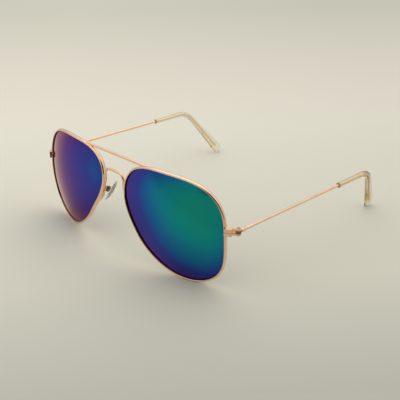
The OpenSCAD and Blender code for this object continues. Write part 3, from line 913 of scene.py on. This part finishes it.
def finish_solid(node, material):
    """Gives a solid of the frame its finish, with fine rounded edges."""
    solid = frame["nodes"][node]
    solid.data.materials.clear()
    solid.data.materials.append(material)
    weld = solid.modifiers.new("weld", "WELD")
    weld.merge_threshold = WELD_GAP * MM
    bevel = solid.modifiers.new("soft_edges", "BEVEL")
    bevel.width = SOFT_EDGE * MM
    bevel.segments = 2
    bevel.limit_method = "ANGLE"
    bevel.angle_limit = SOFT_EDGE_ANGLE
    even = solid.modifiers.new("true_sides", "WEIGHTED_NORMAL")
    even.weight = 100
    even.keep_sharp = True


def finish_solids():
    """Finishes for the solids that show as they are."""
    finishes = {
        "front_hinge": GOLD,
        "pad_box": GOLD,
        "end_piece": END_WALL_SHADE_GOLD,
        "closing_block": END_WALL_SHADE_GOLD,
        "temple_hinge": HINGE_SHADE_GOLD,
        "rim_screw": SCREW_GOLD,
        "hinge_screw": SCREW_GOLD,
        "pad_screw": SCREW_GOLD,
        "pad_core": INSERT_CLEAR,
    }
    for word in SIDES:
        for part, material in finishes.items():
            finish_solid(f"{part}_{word}", material)
    finish_solid("top_bar", GOLD)


# Table, room, lamp and camera


def table_finish():
    """Pale paper with painted light falloff: lightest some way behind the glasses and a little darker to the
    camera's right.
    """
    finish = Finish("table_paper", Roughness=0.7, Specular_IOR_Level=0.2)
    # Painted light falloff along the table
    along = finish.vector("DOT_PRODUCT", finish.place(), TABLE_FADE_WAY)
    colour = finish.ramp(
        finish.rescale(along, TABLE_FADE_START, TABLE_FADE_STOP),
        [
            (0.157, srgb(194, 193, 181)),
            (0.25, srgb(219, 216, 201)),
            (0.345, srgb(227, 223, 208)),
            (0.49, srgb(234, 230, 215)),
            (0.60, srgb(231, 225, 211)),
            (0.96, srgb(210, 208, 193)),
        ],
    )
    # Painted light falloff from side to side
    across = finish.vector("DOT_PRODUCT", finish.place(), camera_right())
    share = finish.rescale(across, -TABLE_SIDE, TABLE_SIDE, 1 + TABLE_SIDE_FADE, 1 - TABLE_SIDE_FADE)
    inputs = {0: colour, "Scale": share}
    faded = finish.node("ShaderNodeVectorMath", inputs, operation="SCALE")
    finish.feed("Base Color", faded.outputs["Vector"])
    return finish.material


def make_floor():
    """A pale seamless table."""
    mesh = bpy.data.meshes.new("table")
    near, far = -TABLE_REACH, TABLE_REACH
    mesh.from_pydata([(near, near, 0), (far, near, 0), (far, far, 0), (near, far, 0)], [], [(0, 1, 2, 3)])
    mesh.materials.append(table_finish())
    table = bpy.data.objects.new("table", mesh)
    bpy.context.scene.collection.objects.link(table)


def make_world():
    """A pale room all round, dark behind the camera and as dim as the table at the horizon."""
    world = bpy.data.worlds.new("studio")
    world.use_nodes = True
    room = Nodes(world.node_tree)
    background = world.node_tree.nodes["Background"]
    around = room.node("ShaderNodeTexCoord").outputs["Generated"]
    height = room.node("ShaderNodeSeparateXYZ", {"Vector": around}).outputs["Z"]
    strength = room.rescale(height, 0.0, ROOM_FULL_HEIGHT, ROOM_HORIZON, 1.0)
    room.put(strength, background.inputs["Strength"])
    towards = room.vector("DOT_PRODUCT", around, way_at(DARK_ELEVATION))
    shade = room.ramp(towards, [(math.cos(DARK_EDGE), ROOM_PALE), (math.cos(DARK_FULL), ROOM_DARK)])
    room.put(shade, background.inputs["Color"])
    bpy.context.scene.world = world


def make_softbox():
    """One large soft lamp above and behind the glasses, turned to the middle of the table."""
    data = bpy.data.lights.new("softbox", "AREA")
    data.shape = "DISK"
    data.size = SOFTBOX_SIZE
    data.energy = SOFTBOX_POWER
    lamp = bpy.data.objects.new("softbox", data)
    lamp.location = SOFTBOX_PLACE
    lamp.rotation_euler = (-Vector(SOFTBOX_PLACE)).to_track_quat("-Z", "Y").to_euler()
    bpy.context.scene.collection.objects.link(lamp)


def make_camera():
    """The photograph's camera: 45 degrees to the wearer's left of straight ahead and 25 degrees up."""
    back = way_at(CAMERA_ELEVATION)
    right = camera_right()
    up = back.cross(right)
    from_lenses = back * CAMERA_BACK + right * CAMERA_RIGHT + up * CAMERA_UP
    place = (from_lenses + Vector(TABLE_SHIFT)) * MM
    data = bpy.data.cameras.new("camera")
    data.sensor_width = SENSOR_W
    data.lens = SENSOR_W * FOCAL_PIXELS / IMAGE_PIXELS
    data.clip_start = CLIP_START
    camera = bpy.data.objects.new("camera", data)
    camera.matrix_world = Matrix.Translation(place) @ Matrix((right, up, back)).transposed().to_4x4()
    bpy.context.scene.collection.objects.link(camera)
    bpy.context.scene.camera = camera


# The scene

for word, side in SIDES.items():
    make_rim(word, side)
    make_lens(word, side)
    make_brazes(word, side)
    make_pad_arm(word, side)
    make_nose_pad(word, side)
    make_temple(word, side)
    make_ear_tip(word, side)
make_bridge()
finish_solids()

make_floor()
make_world()
make_softbox()
make_camera()
bpy.context.scene.view_settings.view_transform = "Standard"
